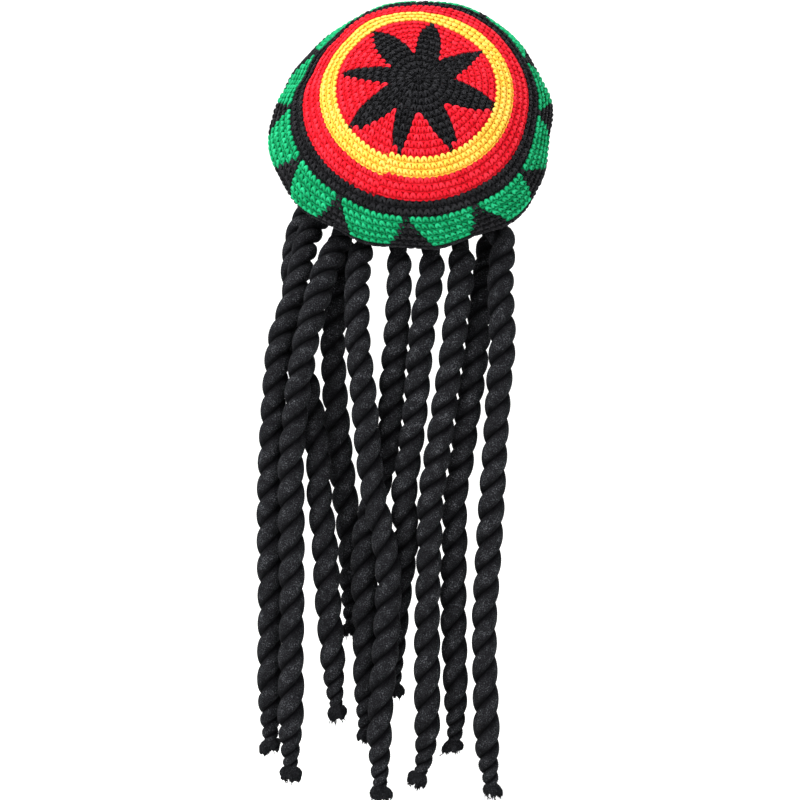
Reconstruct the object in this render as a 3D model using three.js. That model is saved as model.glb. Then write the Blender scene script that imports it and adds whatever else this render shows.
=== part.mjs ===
// A slouchy crocheted tam: a dome of coloured rounds with an eight-pointed star, tilted back
// over a ribbed head band, and ten long twisted locks that hang from the back of the band.
// Millimetres, +Z up, +X to the wearer's right, +Y the way the wearer faces.
// The origin is the middle of the head opening.

import * as THREE from 'three';

// Driving sizes
const crownRadius = 127.5;
const headHalfWidth = 79;
const headHalfLength = 97;
const fabric = 3.5;
const bandHeight = 25;
const seam = 0.3;
const crownBack = 117;
const crownHeight = 111;
const crownTilt = 33;
const bandTilt = 68;
const bandLift = 0.8;

const columns = 48;
const starPoints = 8;
const panels = 12;
const firstAngle = 3;
const columnAngle = 360 / columns;

const lockDiameter = 24;
const lockTabWidth = 18;
const lockTabLength = 26;
const lockTipLength = 30;
const lockTipShare = 0.42;
const lockStep = 8.2;
const topTwist = 42;
const endTwist = 54;

// Rounds of stitches, counted from the middle of the star
const rounds = { field: 11, yellow: 14, red: 17, black: 19, green: 24, under: 39 };
const panelNotchRound = 20.1;

// The dome, from the middle of the star to the last green round. radius, drop and side are
// shares of crownRadius, drop is measured along the dome's axis, lean is in degrees, and fold
// is the share of the radius lost where two panels meet.
const dome = [
  { round: 0, radius: 0, drop: 0, side: 0.018, lean: 0, fold: 0 },
  { round: 4, radius: 0.222, drop: 0.01, side: 0.014, lean: 0, fold: 0 },
  { round: 8, radius: 0.424, drop: 0.056, side: 0.006, lean: 0, fold: 0 },
  { round: 11, radius: 0.563, drop: 0.126, side: 0, lean: 0, fold: 0 },
  { round: 14, radius: 0.683, drop: 0.203, side: 0.004, lean: 0, fold: 0 },
  { round: 17, radius: 0.8, drop: 0.316, side: 0.001, lean: -0.3, fold: 0.002 },
  { round: 19, radius: 0.882, drop: 0.4, side: -0.003, lean: 0, fold: 0.006 },
  { round: 24, radius: 1, drop: 0.592, side: -0.022, lean: 1, fold: 0.016 },
];

// The underside, in shares of the way from the last green round to the top of the band. shift
// moves a ring's centre, narrow takes its width, shrink its length and turn its tilt.
const turnUnder = [
  { round: 26, shift: 0.12, narrow: -0.02, shrink: 0.02, turn: 0.01, fold: 0.022 },
  { round: 29, shift: 0.34, narrow: 0.06, shrink: 0.24, turn: 0.14, fold: 0.032 },
  { round: 32, shift: 0.54, narrow: 0.22, shrink: 0.54, turn: 0.36, fold: 0.036 },
  { round: 35, shift: 0.75, narrow: 0.5, shrink: 0.77, turn: 0.62, fold: 0.028 },
  { round: 37, shift: 0.88, narrow: 0.75, shrink: 0.9, turn: 0.97, fold: 0.014 },
  { round: 39, shift: 1, narrow: 1, shrink: 1, turn: 1, fold: 0 },
];

// Soft dents and swells. depth is a share of crownRadius, inwards; spans are half widths.
const dents = [
  { round: 6, angle: 20, roundSpan: 5, angleSpan: 50, depth: 0.01 },
  { round: 11, angle: 60, roundSpan: 5, angleSpan: 25, depth: 0.03 },
  { round: 15, angle: 124, roundSpan: 3, angleSpan: 16, depth: -0.03 },
  { round: 21, angle: 60, roundSpan: 9, angleSpan: 22, depth: -0.03 },
  { round: 22, angle: 135, roundSpan: 9, angleSpan: 20, depth: 0.055 },
  { round: 22, angle: 161, roundSpan: 6, angleSpan: 9, depth: 0.05 },
  { round: 23, angle: -154, roundSpan: 6, angleSpan: 24, depth: -0.05 },
  { round: 24, angle: -40, roundSpan: 6, angleSpan: 15, depth: -0.05 },
  { round: 23, angle: -14, roundSpan: 7, angleSpan: 15, depth: 0.03 },
  { round: 32, angle: 80, roundSpan: 5, angleSpan: 34, depth: 0.03 },
];

// The star's edge in rounds, at the tip of each arm and at each column after it
const arms = [
  { tip: 10.8, one: 6, two: 4.2, three: 4.8, four: 6.8, five: 9.2 },
  { tip: 10.8, one: 8.5, two: 4.6, three: 4.3, four: 6.2, five: 8.7 },
  { tip: 10.8, one: 9, two: 7.2, three: 5, four: 4.3, five: 6.5 },
  { tip: 10.8, one: 7.7, two: 5, three: 4.2, four: 5.2, five: 8 },
  { tip: 10.8, one: 10, two: 7.5, three: 4.6, four: 6.3, five: 9.7 },
  { tip: 10.8, one: 4.8, two: 4.7, three: 6, four: 8.3, five: 10.7 },
  { tip: 9.6, one: 4.8, two: 5.1, three: 6.5, four: 8.7, five: 10.5 },
  { tip: 10.8, one: 7, two: 4.3, three: 5.3, four: 6.7, five: 8.5 },
];
const columnsPerArm = columns / starPoints;
const firstArmColumn = 4;

// The notches between panels, in degrees: turn is from an even spread, and lean is how far
// the columns lean on round the crown from there to the last green round
const notches = [
  { turn: 1.5, lean: 3.5 },
  { turn: 2.5, lean: 3.5 },
  { turn: 0, lean: 3.5 },
  { turn: -2.5, lean: 2 },
  { turn: 0, lean: 0 },
  { turn: 3.5, lean: -1 },
  { turn: 1.5, lean: 0.5 },
  { turn: -2.5, lean: 2.5 },
  { turn: 0, lean: 3.5 },
  { turn: 2.5, lean: 4.5 },
  { turn: 0, lean: 4.5 },
  { turn: 3, lean: 4.5 },
];
const columnsPerPanel = columns / panels;
const firstNotchColumn = 3;

// The locks. seat is the angle round the band from straight back, x and y are the route at
// each level below, and the last value of each is its end, at the height end. bow is a point
// above those, where a lock bulges out from the side of the band.
const levels = [-60, -90, -125, -160, -195, -230, -265, -300, -335, -370, -405, -440, -475, -510];
const locks = [
  {
    seat: -93,
    bow: { x: -104, y: -16, z: -24 },
    x: [-112, -110, -107, -100, -93, -88, -87, -83, -81, -79, -76, -74, -71],
    y: [-45, -64, -82, -99, -106, -114, -117, -118, -118, -118, -118, -118, -118],
    end: -469,
  },
  {
    seat: -75,
    bow: { x: -97, y: -47, z: -32 },
    x: [-104, -111, -122, -126, -129, -131, -132, -132, -132, -132, -133, -133, -133, -133],
    y: [-72, -90, -104, -111, -112, -112, -112, -112, -112, -112, -112, -112, -112, -112],
    end: -502,
  },
  {
    seat: -49,
    x: [-81, -90, -99, -105, -109, -112, -112, -112, -112, -112, -113, -113, -114, -114, -114],
    y: [-94, -110, -122, -127, -128, -128, -128, -128, -128, -128, -128, -128, -128, -128, -128],
    end: -523,
  },
  {
    seat: -62,
    x: [-65, -71, -75, -74, -72, -69, -65, -61, -59, -59, -59],
    y: [-60, -80, -90, -92, -92, -92, -90, -87, -86, -86, -86],
    end: -400,
  },
  {
    seat: -35,
    x: [-52, -53, -52, -48, -45, -42, -37, -29, -25, -26, -28, -31, -33, -33, -32],
    y: [-96, -112, -122, -126, -128, -129, -130, -130, -130, -130, -130, -130, -130, -130, -130],
    end: -541,
  },
  {
    seat: -12,
    x: [-15, -16, -18, -21, -23, -27, -37, -46, -47, -46, -46, -46, -46, -46],
    y: [-102, -106, -106, -105, -105, -104, -104, -107, -108, -108, -108, -108, -108, -108],
    end: -494,
  },
  {
    seat: 9,
    x: [14, 9, 4, 1, -2, -7, -11, -9, -13, -17, -20, -20, -20],
    y: [-102, -110, -118, -119, -119, -119, -116, -112, -107, -105, -105, -105, -105],
    end: -452,
  },
  {
    seat: 29,
    x: [41, 37, 33, 28, 23, 18, 13, 12, 11, 10, 10, 10, 10, 6, -1],
    y: [-98, -110, -118, -122, -124, -125, -126, -127, -127, -126, -125, -125, -125, -125, -125],
    end: -529,
  },
  {
    seat: 60,
    x: [64, 59, 55, 50, 45, 41, 35, 35, 34, 34, 35, 36, 36, 34],
    y: [-62, -82, -100, -108, -110, -110, -110, -110, -110, -110, -110, -110, -110, -110],
    end: -503,
  },
  {
    seat: 46,
    bow: { x: 78, y: -82, z: -34 },
    x: [76, 76, 77, 74, 72, 70, 68, 66, 64, 62, 62, 63, 64, 66, 71],
    y: [-94, -108, -118, -121, -121, -121, -121, -121, -121, -121, -121, -121, -121, -121, -121],
    end: -541,
  },
];

// Corners of a twisted pair of strands, in shares of the lock's radius
const twistCorners = [
  { out: 1, side: 0 },
  { out: 0.47, side: 0.72 },
  { out: -0.47, side: 0.72 },
  { out: -1, side: 0 },
  { out: -0.47, side: -0.72 },
  { out: 0.47, side: -0.72 },
];

const yarns = {
  black: { color: 0x19191c, roughness: 0.92, metalness: 0 },
  red: { color: 0xd81f31, roughness: 0.9, metalness: 0 },
  yellow: { color: 0xf6c63a, roughness: 0.9, metalness: 0 },
  green: { color: 0x0d8a55, roughness: 0.9, metalness: 0 },
  charcoal: { color: 0x242529, roughness: 0.95, metalness: 0 },
};

const radians = THREE.MathUtils.degToRad;
const hat = new THREE.Group();

function axisAt(tilt) {
  return new THREE.Vector3(0, -Math.cos(radians(tilt)), Math.sin(radians(tilt)));
}

function upSlopeAt(tilt) {
  return new THREE.Vector3(0, Math.sin(radians(tilt)), Math.cos(radians(tilt)));
}

// Rings of the surface: centre, half width, half length, tilt and fold at each round
function domeRing(row) {
  const centre = new THREE.Vector3(0, -crownBack, crownHeight);
  centre.addScaledVector(axisAt(crownTilt), -row.drop * crownRadius);
  const radius = row.radius * crownRadius;
  return {
    round: row.round,
    x: centre.x + row.side * crownRadius,
    y: centre.y,
    z: centre.z,
    halfWidth: radius,
    halfLength: radius,
    tilt: crownTilt + row.lean,
    fold: row.fold,
  };
}

const domeRings = dome.map(domeRing);
const lastGreen = domeRings.at(-1);
const bandHalfWidth = headHalfWidth + fabric;
const bandHalfLength = headHalfLength + fabric;
const bandTop = axisAt(bandTilt).multiplyScalar(bandHeight + bandLift);

function underRing(row) {
  const mix = THREE.MathUtils.lerp;
  return {
    round: row.round,
    x: mix(lastGreen.x, bandTop.x, row.shift),
    y: mix(lastGreen.y, bandTop.y, row.shift),
    z: mix(lastGreen.z, bandTop.z, row.shift),
    halfWidth: mix(lastGreen.halfWidth, bandHalfWidth - fabric / 2, row.narrow),
    halfLength: mix(lastGreen.halfLength, bandHalfLength - fabric / 2, row.shrink),
    tilt: mix(lastGreen.tilt, bandTilt, row.turn),
    fold: row.fold,
  };
}

const rings = [...domeRings, ...turnUnder.map(underRing)];

// A smooth curve through one column of the rings
function column(name, round) {
  const last = rings.length - 2;
  let i = 0;
  while (i < last && rings[i + 1].round < round) {
    i += 1;
  }
  const slope = (j) => {
    const a = rings[Math.max(j - 1, 0)];
    const b = rings[Math.min(j + 1, rings.length - 1)];
    return (b[name] - a[name]) / (b.round - a.round);
  };
  const from = rings[i];
  const to = rings[i + 1];
  const width = to.round - from.round;
  const t = (round - from.round) / width;
  const rise = to[name] - from[name];
  const a = slope(i) * width - rise;
  const b = rise - slope(i + 1) * width;
  return from[name] + t * rise + t * (1 - t) * ((1 - t) * a + t * b);
}

// Columns drift from an even spread as the notches do
function angleOf(j, round) {
  const place = THREE.MathUtils.euclideanModulo(j - firstNotchColumn, columns) / columnsPerPanel;
  const panel = Math.floor(place);
  const along = place - panel;
  const from = notches[panel];
  const to = notches[(panel + 1) % panels];
  const turn = THREE.MathUtils.lerp(from.turn, to.turn, along);
  const lean = THREE.MathUtils.lerp(from.lean, to.lean, along);
  const started = THREE.MathUtils.smoothstep(round, rounds.yellow, rounds.black);
  const leaning = THREE.MathUtils.smoothstep(round, rounds.black, rounds.green);
  return radians(firstAngle + j * columnAngle + turn * started + lean * leaning);
}

const notchAngle = radians(firstAngle + firstNotchColumn * columnAngle - 120);

function smoothSkin(round, angle) {
  const meeting = (1 + Math.cos(panels * (angle - notchAngle))) / 2;
  const share = 1 - column('fold', round) * meeting;
  const slope = upSlopeAt(column('tilt', round));
  const point = new THREE.Vector3(column('x', round), column('y', round), column('z', round));
  point.x += column('halfWidth', round) * share * Math.cos(angle);
  return point.addScaledVector(slope, column('halfLength', round) * share * Math.sin(angle));
}

function outwardAt(round, angle) {
  const probe = 0.05;
  const inner = Math.max(round, 2 * probe) - probe;
  const along = smoothSkin(inner + 2 * probe, angle).sub(smoothSkin(inner, angle));
  const across = smoothSkin(inner + probe, angle + probe);
  across.sub(smoothSkin(inner + probe, angle - probe));
  return along.cross(across).normalize();
}

function dentAt(round, angle) {
  let total = 0;
  for (const dent of dents) {
    const turn = angle - radians(dent.angle);
    const across = Math.atan2(Math.sin(turn), Math.cos(turn)) / radians(dent.angleSpan);
    const along = (round - dent.round) / dent.roundSpan;
    total += dent.depth * crownRadius * Math.exp(-across * across - along * along);
  }
  return total;
}

// A point of the crown, depth below its outer skin. Dents fade out at the band.
function crownPoint(round, angle, depth) {
  const fade = Math.min(1, (rounds.under - round) / 4);
  const sink = depth + dentAt(round, angle) * fade;
  return smoothSkin(round, angle).addScaledVector(outwardAt(round, angle), -sink);
}

function bandPoint(height, angle, depth) {
  const point = axisAt(bandTilt).multiplyScalar(height);
  point.x += (bandHalfWidth - depth) * Math.cos(angle);
  return point.addScaledVector(upSlopeAt(bandTilt), (bandHalfLength - depth) * Math.sin(angle));
}

// How far an edge steps back from a seam, in rounds, more where the edge runs steeply
function seamShare(edge, j) {
  const round = edge(j);
  const angle = angleOf(j, round);
  const perRound = smoothSkin(round, angle).distanceTo(smoothSkin(round - 0.5, angle)) * 2;
  const perColumn = smoothSkin(round, angle).distanceTo(smoothSkin(round, angleOf(j + 1, round)));
  const climb = Math.max(Math.abs(edge(j + 1) - round), Math.abs(edge(j - 1) - round));
  const steep = Math.hypot(1, (climb * perRound) / perColumn);
  return ((seam / 2) * steep) / perRound;
}

function meshFrom(name, yarn, positions, triangles) {
  const geometry = new THREE.BufferGeometry();
  geometry.setAttribute('position', new THREE.Float32BufferAttribute(positions, 3));
  geometry.setIndex(triangles);
  geometry.computeVertexNormals();
  const mesh = new THREE.Mesh(geometry, new THREE.MeshStandardMaterial(yarn));
  mesh.name = name;
  hat.add(mesh);
}

// A closed ring of fabric. loops go once round its section: outer skin, then inner skin back.
// The last face is cut along the other diagonal, as the neighbour's facing edge is.
function closedRing(name, yarn, loops) {
  const positions = loops.flatMap((loop) => loop.flatMap((point) => point.toArray()));
  const triangles = [];
  for (let i = 0; i < loops.length; i += 1) {
    const next = (i + 1) % loops.length;
    for (let j = 0; j < columns; j += 1) {
      const right = (j + 1) % columns;
      const a = i * columns + j;
      const b = i * columns + right;
      const c = next * columns + right;
      const d = next * columns + j;
      if (next === 0) {
        triangles.push(a, d, c, a, c, b);
      } else {
        triangles.push(a, d, b, b, d, c);
      }
    }
  }
  meshFrom(name, yarn, positions, triangles);
}

function loopOf(pointAt) {
  return Array.from({ length: columns }, (unused, j) => pointAt(j));
}

// A round of the crown between two edges, which give the round of stitches at each column
function crownRing(name, yarn, innerEdge, outerEdge, rows) {
  const skin = (share, depth) => loopOf((j) => {
    const start = innerEdge(j) + seamShare(innerEdge, j);
    const stop = outerEdge(j) - seamShare(outerEdge, j);
    const round = THREE.MathUtils.lerp(start, stop, share);
    return crownPoint(round, angleOf(j, round), depth);
  });
  const loops = [];
  for (let i = 0; i <= rows; i += 1) {
    loops.push(skin(i / rows, 0));
  }
  for (let i = rows; i >= 0; i -= 1) {
    loops.push(skin(i / rows, fabric));
  }
  closedRing(name, yarn, loops);
}

// The star's disc has no inner edge: both skins close on a middle point
function starDisc(name, yarn, outerEdge, rows) {
  const skin = (share, depth) => loopOf((j) => {
    const stop = outerEdge(j) - seamShare(outerEdge, j);
    return crownPoint(stop * share, angleOf(j, stop * share), depth);
  });
  const loops = [];
  for (let i = 1; i <= rows; i += 1) {
    loops.push(skin(i / rows, 0));
  }
  for (let i = rows; i >= 1; i -= 1) {
    loops.push(skin(i / rows, fabric));
  }
  const middles = [crownPoint(0, 0, 0), crownPoint(0, 0, fabric)];
  const positions = [...loops.flat(), ...middles].flatMap((point) => point.toArray());
  const outerMiddle = loops.length * columns;
  const innerLoop = (loops.length - 1) * columns;
  const triangles = [];
  for (let j = 0; j < columns; j += 1) {
    const right = (j + 1) % columns;
    triangles.push(outerMiddle, j, right);
    triangles.push(outerMiddle + 1, innerLoop + right, innerLoop + j);
    for (let i = 0; i < loops.length - 1; i += 1) {
      const a = i * columns + j;
      const b = i * columns + right;
      triangles.push(a, a + columns, b, b, a + columns, b + columns);
    }
  }
  meshFrom(name, yarn, positions, triangles);
}

const level = (round) => () => round;

function starEdgeAt(j) {
  const place = THREE.MathUtils.euclideanModulo(j - firstArmColumn, columns);
  const arm = Math.floor(place / columnsPerArm);
  return Object.values(arms[arm])[place % columnsPerArm];
}

function panelEdgeAt(j) {
  const step = THREE.MathUtils.euclideanModulo(j - firstNotchColumn, columnsPerPanel);
  return step === 0 ? panelNotchRound : rounds.green;
}

starDisc('star', yarns.black, starEdgeAt, 3);
crownRing('red_field', yarns.red, starEdgeAt, level(rounds.field), 2);
crownRing('yellow_round', yarns.yellow, level(rounds.field), level(rounds.yellow), 1);
crownRing('red_round', yarns.red, level(rounds.yellow), level(rounds.red), 1);
crownRing('black_round', yarns.black, level(rounds.red), level(rounds.black), 1);
crownRing('green_round', yarns.green, level(rounds.black), panelEdgeAt, 2);
crownRing('underside', yarns.black, panelEdgeAt, level(rounds.under), 6);

const bandLoops = [
  { height: 0, depth: 0 },
  { height: 0, depth: fabric },
  { height: bandHeight, depth: fabric },
  { height: bandHeight, depth: 0 },
];
const bandSkins = bandLoops.map((row) => loopOf((j) => bandPoint(row.height, angleOf(j, rounds.under), row.depth)));
closedRing('head_band', yarns.black, bandSkins);

// The middle of a lock's seat, on the lower edge of the band
function seatOf(lock) {
  const angle = radians(lock.seat - 90);
  return bandPoint(-seam, angle, fabric / 2);
}

function routeOf(lock) {
  const heights = [...levels.slice(0, lock.x.length - 1), lock.end];
  const points = heights.map((z, i) => new THREE.Vector3(lock.x[i], lock.y[i], z));
  if (lock.bow) {
    points.unshift(new THREE.Vector3(lock.bow.x, lock.bow.y, lock.bow.z));
  }
  return new THREE.CatmullRomCurve3([seatOf(lock), ...points], false, 'centripetal');
}

// Turns made by the twist, which gets slower towards the end
function twistAt(distance, length) {
  const slowing = (endTwist - topTwist) / length;
  return (2 * Math.PI * Math.log(1 + (slowing * distance) / topTwist)) / slowing;
}

function smoothShare(value) {
  const share = Math.min(1, Math.max(0, value));
  return share * share * (3 - 2 * share);
}

// One lock: a flat tab sewn under the band, that fills out into a twisted pair of strands
function lockMesh(name, lock) {
  const route = routeOf(lock);
  const length = route.getLength();
  const steps = Math.round(length / lockStep);
  const seatAngle = radians(lock.seat - 90);
  const along = bandPoint(0, seatAngle + 0.01, 0).sub(bandPoint(0, seatAngle - 0.01, 0)).normalize();
  const down = axisAt(bandTilt).negate();
  const radius = lockDiameter / 2;
  const positions = [];
  for (let i = 0; i <= steps; i += 1) {
    const distance = (length * i) / steps;
    const centre = route.getPointAt(i / steps);
    const tangent = route.getTangentAt(i / steps);
    const filled = smoothShare(distance / lockTabLength);
    const facing = down.clone().lerp(tangent, filled).normalize();
    const across = along.clone().addScaledVector(facing, -along.dot(facing)).normalize();
    const through = facing.clone().cross(across);
    const tip = smoothShare((length - distance) / lockTipLength);
    const size = radius * THREE.MathUtils.lerp(lockTipShare, 1, tip);
    const twist = twistAt(distance, length);
    for (const corner of twistCorners) {
      const turned = {
        across: corner.out * Math.cos(twist) - corner.side * Math.sin(twist),
        through: corner.out * Math.sin(twist) + corner.side * Math.cos(twist),
      };
      const wide = THREE.MathUtils.lerp(lockTabWidth / 2, size, filled);
      const thick = THREE.MathUtils.lerp(fabric / 2, size, filled);
      const point = centre.clone().addScaledVector(across, turned.across * wide);
      positions.push(...point.addScaledVector(through, turned.through * thick).toArray());
    }
  }
  const corners = twistCorners.length;
  const triangles = [];
  for (let k = 1; k < corners - 1; k += 1) {
    triangles.push(0, k + 1, k);
    triangles.push(steps * corners, steps * corners + k, steps * corners + k + 1);
  }
  for (let i = 0; i < steps; i += 1) {
    for (let k = 0; k < corners; k += 1) {
      const a = i * corners + k;
      const b = i * corners + ((k + 1) % corners);
      triangles.push(a, b, a + corners, b, b + corners, a + corners);
    }
  }
  meshFrom(name, yarns.charcoal, positions, triangles);
}

locks.forEach((lock, i) => lockMesh(`lock_${String(i + 1).padStart(2, '0')}`, lock));

export default hat;
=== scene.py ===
# A slouchy crocheted tam seen from behind: an eight-pointed star, coloured rounds, a zigzag
# of green panels, a ribbed head band and ten long twisted locks.
# The tables repeat the part's own, in millimetres. MM turns them into the frame's metres.
# The camera and the stage are in metres.

import math

import bpy
import numpy as np
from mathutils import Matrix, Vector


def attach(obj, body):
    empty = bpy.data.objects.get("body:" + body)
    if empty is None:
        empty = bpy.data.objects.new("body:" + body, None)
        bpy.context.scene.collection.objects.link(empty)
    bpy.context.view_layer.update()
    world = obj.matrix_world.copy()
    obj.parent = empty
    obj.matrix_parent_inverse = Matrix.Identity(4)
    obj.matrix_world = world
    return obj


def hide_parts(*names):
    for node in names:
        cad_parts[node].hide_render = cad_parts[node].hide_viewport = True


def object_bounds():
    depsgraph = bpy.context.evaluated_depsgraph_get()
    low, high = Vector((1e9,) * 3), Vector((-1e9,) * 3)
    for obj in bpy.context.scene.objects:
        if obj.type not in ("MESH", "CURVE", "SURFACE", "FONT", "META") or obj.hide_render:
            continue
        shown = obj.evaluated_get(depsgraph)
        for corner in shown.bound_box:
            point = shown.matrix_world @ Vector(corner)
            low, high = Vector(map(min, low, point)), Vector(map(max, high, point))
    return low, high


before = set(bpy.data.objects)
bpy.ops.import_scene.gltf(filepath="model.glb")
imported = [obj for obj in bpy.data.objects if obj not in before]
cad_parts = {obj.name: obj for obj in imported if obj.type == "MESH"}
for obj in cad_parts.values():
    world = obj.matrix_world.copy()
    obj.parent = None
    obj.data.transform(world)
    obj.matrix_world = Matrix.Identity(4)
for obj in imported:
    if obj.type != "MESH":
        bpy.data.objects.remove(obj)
cad_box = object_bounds()

MM = 0.001
TAU = 2 * math.pi
rng = np.random.default_rng(11)

# Camera, in metres and degrees, for a square picture
CAMERA_TARGET = (-0.0145, -0.08, -0.1808)
CAMERA_DISTANCE = 2.6
CAMERA_ELEVATION = 8
CAMERA_LENS = 128.7
CAMERA_SENSOR = 36
CAMERA_REACH = 50

# Sizes shared with the solids, in millimetres and degrees
CROWN_RADIUS = 127.5
HEAD_HALF_WIDTH = 79
HEAD_HALF_LENGTH = 97
FABRIC = 3.5
BAND_HEIGHT = 25
SEAM = 0.3
CROWN_BACK = 117
CROWN_HEIGHT = 111
CROWN_TILT = 33
BAND_TILT = 68
BAND_LIFT = 0.8
COLUMNS = 48
PANELS = 12
FIRST_ANGLE = 3
COLUMN_ANGLE = 360 / COLUMNS
ROUNDS = {"field": 11, "yellow": 14, "red": 17, "black": 19, "green": 24, "under": 39}
FIRST_ARM_COLUMN = 4
FIRST_NOTCH_COLUMN = 3
PANEL_NOTCH = 20.1
FOLD_TURN = 120

# The crown's rings down to its rim: round, radius, drop, side, lean, fold
DOME = (
    (0, 0, 0, 0.018, 0, 0),
    (4, 0.222, 0.01, 0.014, 0, 0),
    (8, 0.424, 0.056, 0.006, 0, 0),
    (11, 0.563, 0.126, 0, 0, 0),
    (14, 0.683, 0.203, 0.004, 0, 0),
    (17, 0.8, 0.316, 0.001, -0.3, 0.002),
    (19, 0.882, 0.4, -0.003, 0, 0.006),
    (24, 1, 0.592, -0.022, 1, 0.016),
)

# The rings from the rim to the band: round, shift, narrow, shrink, turn, fold
TURN_UNDER = (
    (26, 0.12, -0.02, 0.02, 0.01, 0.022),
    (29, 0.34, 0.06, 0.24, 0.14, 0.032),
    (32, 0.54, 0.22, 0.54, 0.36, 0.036),
    (35, 0.75, 0.5, 0.77, 0.62, 0.028),
    (37, 0.88, 0.75, 0.9, 0.97, 0.014),
    (39, 1, 1, 1, 1, 0),
)

# Dents and bulges: round, angle, round span, angle span, depth
DENTS = (
    (6, 20, 5, 50, 0.01),
    (11, 60, 5, 25, 0.03),
    (15, 124, 3, 16, -0.03),
    (21, 60, 9, 22, -0.03),
    (22, 135, 9, 20, 0.055),
    (22, 161, 6, 9, 0.05),
    (23, -154, 6, 24, -0.05),
    (24, -40, 6, 15, -0.05),
    (23, -14, 7, 15, 0.03),
    (32, 80, 5, 34, 0.03),
)
DENT_FADE = 4

# The turn and lean of each notch between panels, in degrees
NOTCHES = (
    (1.5, 3.5),
    (2.5, 3.5),
    (0, 3.5),
    (-2.5, 2),
    (0, 0),
    (3.5, -1),
    (1.5, 0.5),
    (-2.5, 2.5),
    (0, 3.5),
    (2.5, 4.5),
    (0, 4.5),
    (3, 4.5),
)

# The star's edge in rounds, at the tip of each arm and at each column after it
ARMS = (
    (10.8, 6, 4.2, 4.8, 6.8, 9.2),
    (10.8, 8.5, 4.6, 4.3, 6.2, 8.7),
    (10.8, 9, 7.2, 5, 4.3, 6.5),
    (10.8, 7.7, 5, 4.2, 5.2, 8),
    (10.8, 10, 7.5, 4.6, 6.3, 9.7),
    (10.8, 4.8, 4.7, 6, 8.3, 10.7),
    (9.6, 4.8, 5.1, 6.5, 8.7, 10.5),
    (10.8, 7, 4.3, 5.3, 6.7, 8.5),
)

# Crochet: how wide a stitch is on the crown and the underside, and as its shape is drawn
CROWN_STITCH = 5.8
UNDER_STITCH = 7
DRAWN_STITCH = 7
ROW_HEIGHT = 6.5
STITCH_DEPTH = 2.4
LAST_FINE_ROUND = ROUNDS["green"] + 1

# How stitches differ in lean, size, place and depth, and how light or dark each is: a random share,
# and a share by height that is painted shade, darker low on the stitch and lighter at its crest
STITCH_LEAN = 0.14
LEAN_SPREAD = 0.05
SIZE_SPREAD = 0.04
PLACE_SPREAD = 0.16
DEPTH_SHARE = 0.5
TONE_BY_CHANCE = 0.4
SHADE_BY_HEIGHT = 0.6
STRAND_START = 20

# A stretch of one colour that is shorter than NARROWEST has no stitch of its own.
# One that is longer, but shorter than NARROW_STITCH, has one stitch that wide.
NARROWEST = 1.5
NARROW_STITCH = 4.8

# The chart: the rounds over which a panel narrows, the steps in a round, the samples in a column
PANEL_ROWS = 5
CHART_STEPS = 4800
CHART_SAMPLES = 4
CHART_MARGIN = 0.02

# The green rounds are a little taller than the rest: rounds of the chart, and where they lie
CHART_ROUNDS = (0, 19, 24, 39)
LAID_ROUNDS = (0, 19, 25, 39)
SAG_SHARES = (0, 0, 1, 0)

# Where the green edge sags further, with its neighbours by their share: column, span, rounds
SAGS = ((26.5, 5, 0.8), (46, 4.5, 0.9))

# The seam at which each round steps down to the next
JOG_COLUMN = 33
JOG_SIZE = 0.35
JOG_REACH = 0.05
JOG_FADE_IN = 5
JOG_FADE_OUT = 4

# The wall behind the stitches, with the ridges of the wrong side on its inner skin
WALL_OUT = 2.3
WALL_IN = 3.6
WALL_COLUMNS = 144
WALL_ROWS = 2
WALL_START = 0.08
RIDGE = 0.35
# Painted shade: the outer skin, seen in the gaps between stitches, is darker than the inner skin
WALL_SHADE_TONES = (0.4, 0.5)
WALL_STRAND = (18, 2.0)

# The head band: knitted ribs, which lap a little over the crown's last round
BAND_RIBS = 80
BAND_STEPS = 6
BAND_ROWS = 24
BAND_LAP = 2.4
BAND_TOP = BAND_HEIGHT + BAND_LIFT + BAND_LAP
RIB_DEPTH = 0.9
KNIT_DEPTH = 0.25
KNIT_ROWS = 4
BAND_TONE = 0.4
BAND_STRAND = (12, 1.0)

# Locks
LOCK_DIAMETER = 24
LOCK_TAB_WIDTH = 18
LOCK_TAB_LENGTH = 26
LOCK_TAB_SEWN = 1.6
TOP_TWIST = 42
END_TWIST = 54
LOCK_SIDES = 48
LOCK_GRAIN = 2
ROUTE_STEPS = 400
PATH_POINTS = 40

# The crease between a lock's two strands: how deep, and how sharp
SOFT_CREASE = 0.24
SOFT_POWER = 2
DEEP_CREASE = 0.2
DEEP_POWER = 6
# How narrowly the painted shade hugs the crease
SHADE_POWER = 4

# How a lock swells and thins along its length
SWELL = 0.03
SWELL_LENGTH = 31
SWELL_STEP = 1.7

# Near its tip a lock is thinner and wound tighter: distance from the tip, size
LOCK_TAPER = ((11, 0.42), (16, 0.6), (30, 0.76), (55, 1))
TIP_TURNS = 1.1
TIP_WINDING = 60

# The gathered raw end of a lock: how far from the tip, its radius, and how deep it ripples.
# The row numbered HEM is its lower edge, where the threads hang.
FRILL = (
    (15, 5.0, 0.2),
    (12.5, 5.3, 0.4),
    (10, 7.8, 1.0),
    (6.5, 9.4, 1.5),
    (3, 8.8, 1.9),
    (0.5, 7.2, 2.0),
    (1.2, 6.0, 1.8),
    (4, 5.0, 1.2),
    (7, 3.0, 0.6),
)
HEM = 5
FRILL_SIDES = 60
FRILL_OVERLAP = 0.7
FRILL_WAVES = (4, 7)
FRILL_FLARE = (0.7, 1.1)
FRILL_CURL = (1, 3.5)
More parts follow.
